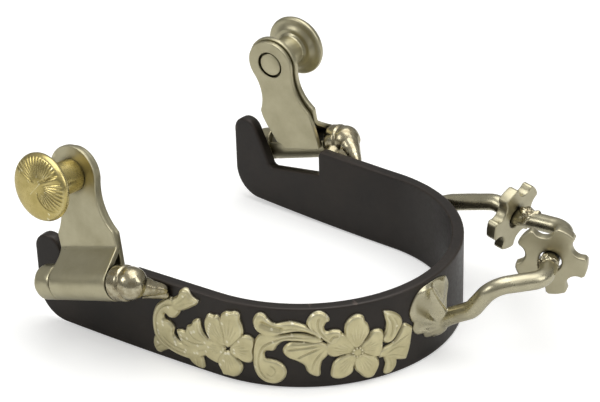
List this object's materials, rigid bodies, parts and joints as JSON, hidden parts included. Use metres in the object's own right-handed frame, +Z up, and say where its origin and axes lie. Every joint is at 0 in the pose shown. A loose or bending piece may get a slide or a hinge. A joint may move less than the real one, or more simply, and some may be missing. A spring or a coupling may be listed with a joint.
{
  "type": "riding spur",
  "caption": "Western riding spur: dark heel band with floral overlay, hinged strap buttons on swinging tabs, bent rod shank and small blunt toothed rowels.",
  "frame": {"origin": "centre of the round heel of the band, at half the band's height", "axes": "+X back towards the shank, +Y towards the horse (plain inner side), +Z up, decorated outer side at -Y"},
  "size_m": [0.127, 0.1142, 0.0562],
  "materials": {
    "browned_steel": "dark browned steel, satin, thinner and brighter along the edges",
    "nickel": "warm nickel, lightly brushed and handled",
    "rowel_steel": "stainless, fine brushed faces with bright bevels",
    "pin_steel": "plain bright steel",
    "brass": "polished brass with engraved grooves",
    "german_silver": "pale champagne nickel silver, engraved, satin"
  },
  "bodies": {
    "heel_band_body": {"heel_band": "browned_steel", "near_front_knuckle": "nickel", "near_rear_knuckle": "nickel", "near_hinge_pin": "pin_steel", "far_front_knuckle": "nickel", "far_rear_knuckle": "nickel", "far_hinge_pin": "pin_steel", "shank": "nickel", "bar_bead": "nickel", "leg_bead": "nickel", "overlay_front_scroll": "german_silver", "overlay_front_flower": "german_silver", "overlay_middle_scroll": "german_silver", "overlay_leaves": "german_silver", "overlay_rear_flower": "german_silver", "overlay_rear_leaf": "german_silver"},
    "near_tab": {"near_tab_outer_plate": "nickel", "near_tab_inner_plate": "nickel", "near_button": "brass"},
    "far_tab": {"far_tab_outer_plate": "nickel", "far_tab_inner_plate": "nickel", "far_button": "nickel"},
    "bar_rowel_body": {"bar_rowel": "rowel_steel"},
    "leg_rowel_body": {"leg_rowel": "rowel_steel"}
  },
  "joints": [
    {"name": "near_tab_swing", "type": "hinge", "parent": "heel_band_body", "child": "near_tab", "pos_m": [-0.03603, -0.0497, 0.00789], "axis": [0.96, 0, 0.2802], "range_deg": [-22, 115]},
    {"name": "far_tab_swing", "type": "hinge", "parent": "heel_band_body", "child": "far_tab", "pos_m": [-0.03603, 0.0497, 0.00789], "axis": [0.96, 0, 0.2802], "range_deg": [-115, 22]},
    {"name": "bar_rowel_spin", "type": "hinge", "parent": "heel_band_body", "child": "bar_rowel_body", "pos_m": [0.06205, 0.0207, 0.01155], "axis": [-0.2921, 0.9564, 0], "continuous": true},
    {"name": "leg_rowel_spin", "type": "hinge", "parent": "heel_band_body", "child": "leg_rowel_body", "pos_m": [0.04085, 0.03779, 0.01055], "axis": [-0.9812, 0.103, 0.163], "continuous": true}
  ]
}
